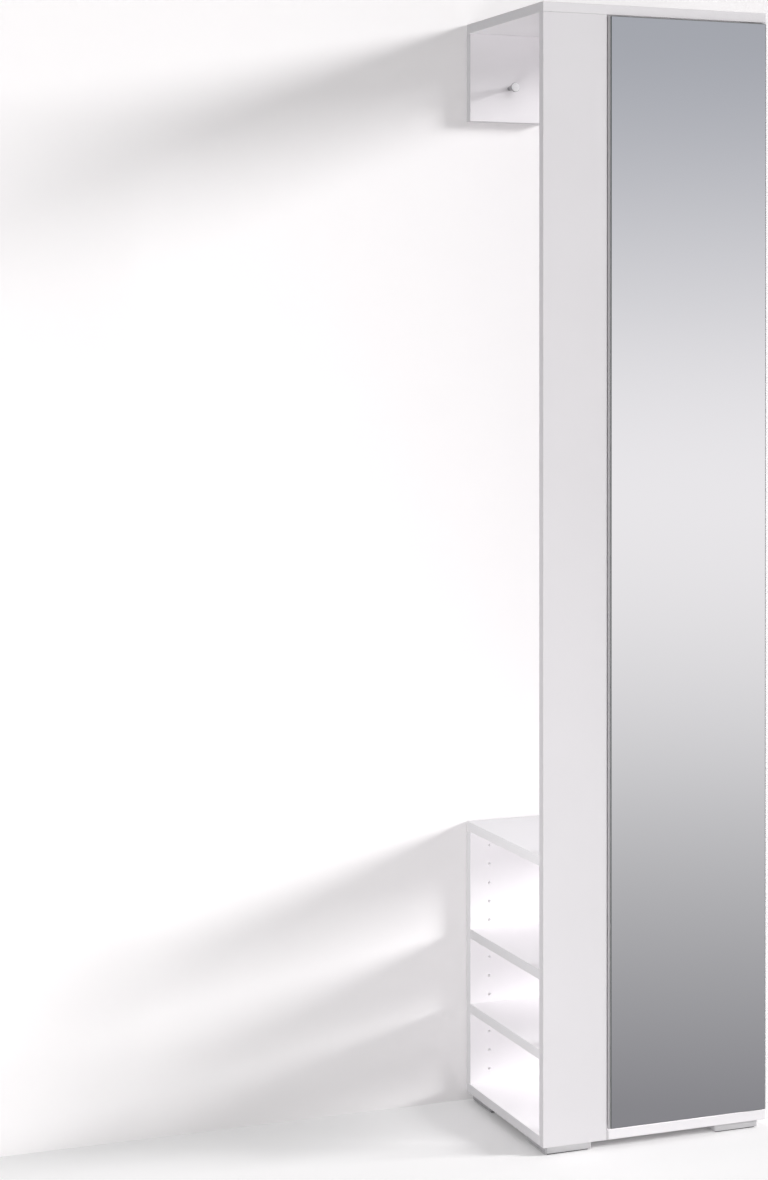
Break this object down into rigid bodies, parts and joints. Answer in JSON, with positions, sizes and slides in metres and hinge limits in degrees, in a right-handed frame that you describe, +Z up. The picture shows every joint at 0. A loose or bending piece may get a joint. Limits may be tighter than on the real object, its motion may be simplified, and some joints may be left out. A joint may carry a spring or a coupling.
{
  "type": "kids wardrobe",
  "caption": "Tall narrow white wardrobe with a full-height mirror door, an open coat niche with a round coat hook and an open shoe box with adjustable shelves below it.",
  "frame": {"origin": "on the floor, under the middle of the whole unit's box", "axes": "+X to the right as seen from the front, +Y towards the wall behind the unit, +Z up"},
  "size_m": [0.4, 0.339, 1.844],
  "materials": {
    "white_board": "white melamine on chipboard, fine satin texture, white edge bands",
    "back_board": "thin white lacquered fibreboard",
    "mirror": "silvered float glass with a narrow ground edge",
    "tape": "dark foam mounting tape",
    "chrome": "polished chrome",
    "steel": "zinc-plated steel",
    "shelf_pin": "nickel-plated steel",
    "silver_foot": "satin silver",
    "foot_pad": "dense dark felt",
    "white_plastic": "white nylon",
    "grey_plastic": "grey moulded plastic",
    "bumper": "clear soft silicone"
  },
  "bodies": {
    "carcass": {"top_panel": "white_board", "bottom_panel": "white_board", "front_stile": "white_board", "stop_strip": "white_board", "partition_panel": "white_board", "right_side_panel": "white_board", "hook_rail": "white_board", "box_wall_panel": "white_board", "shoe_box_top": "white_board", "upper_shoe_shelf": "white_board", "lower_shoe_shelf": "white_board", "hat_shelf": "white_board", "middle_shelf": "white_board", "lower_inner_shelf": "white_board", "back_panel": "back_board", "coat_hook": "chrome", "clothes_rail": "chrome", "rail_socket_left": "chrome", "rail_socket_right": "chrome", "coat_hook_stud": "steel", "wall_bracket": "steel", "bottom_hinge_plate": "steel", "bottom_hinge_pin": "steel", "bottom_hinge_screw_near": "steel", "bottom_hinge_screw_far": "steel", "top_hinge_plate": "steel", "top_hinge_pin": "steel", "top_hinge_screw_near": "steel", "top_hinge_screw_far": "steel", "upper_shoe_pin_wall": "shelf_pin", "upper_shoe_pin_stile": "shelf_pin", "upper_shoe_pin_inner_front": "shelf_pin", "upper_shoe_pin_inner_rear": "shelf_pin", "lower_shoe_pin_wall": "shelf_pin", "lower_shoe_pin_stile": "shelf_pin", "lower_shoe_pin_inner_front": "shelf_pin", "lower_shoe_pin_inner_rear": "shelf_pin", "inner_pin_left_front": "shelf_pin", "inner_pin_left_rear": "shelf_pin", "inner_pin_right_front": "shelf_pin", "inner_pin_right_rear": "shelf_pin", "front_left_foot": "silver_foot", "front_right_foot": "silver_foot", "rear_left_foot": "silver_foot", "rear_right_foot": "silver_foot", "front_left_foot_pad": "foot_pad", "front_right_foot_pad": "foot_pad", "rear_left_foot_pad": "foot_pad", "rear_right_foot_pad": "foot_pad", "latch_housing": "grey_plastic", "lower_bumper": "bumper", "upper_bumper": "bumper"},
    "door": {"door_leaf": "white_board", "mirror_pane": "mirror", "mirror_tape": "tape", "bottom_hinge_bush": "white_plastic", "top_hinge_bush": "white_plastic", "latch_strike": "steel"},
    "latch_button": {"latch_plunger": "white_plastic"}
  },
  "joints": [
    {"name": "door_swing", "type": "hinge", "parent": "carcass", "child": "door", "pos_m": [0.192, -0.1578, 0.924], "axis": [0, 0, 1], "range_deg": [0, 100]},
    {"name": "latch_press", "type": "slide", "parent": "carcass", "child": "latch_button", "axis": [0, 1, 0], "range_m": [0, 0.002], "stiffness_N_per_m": 400, "springref_m": -0.005}
  ]
}
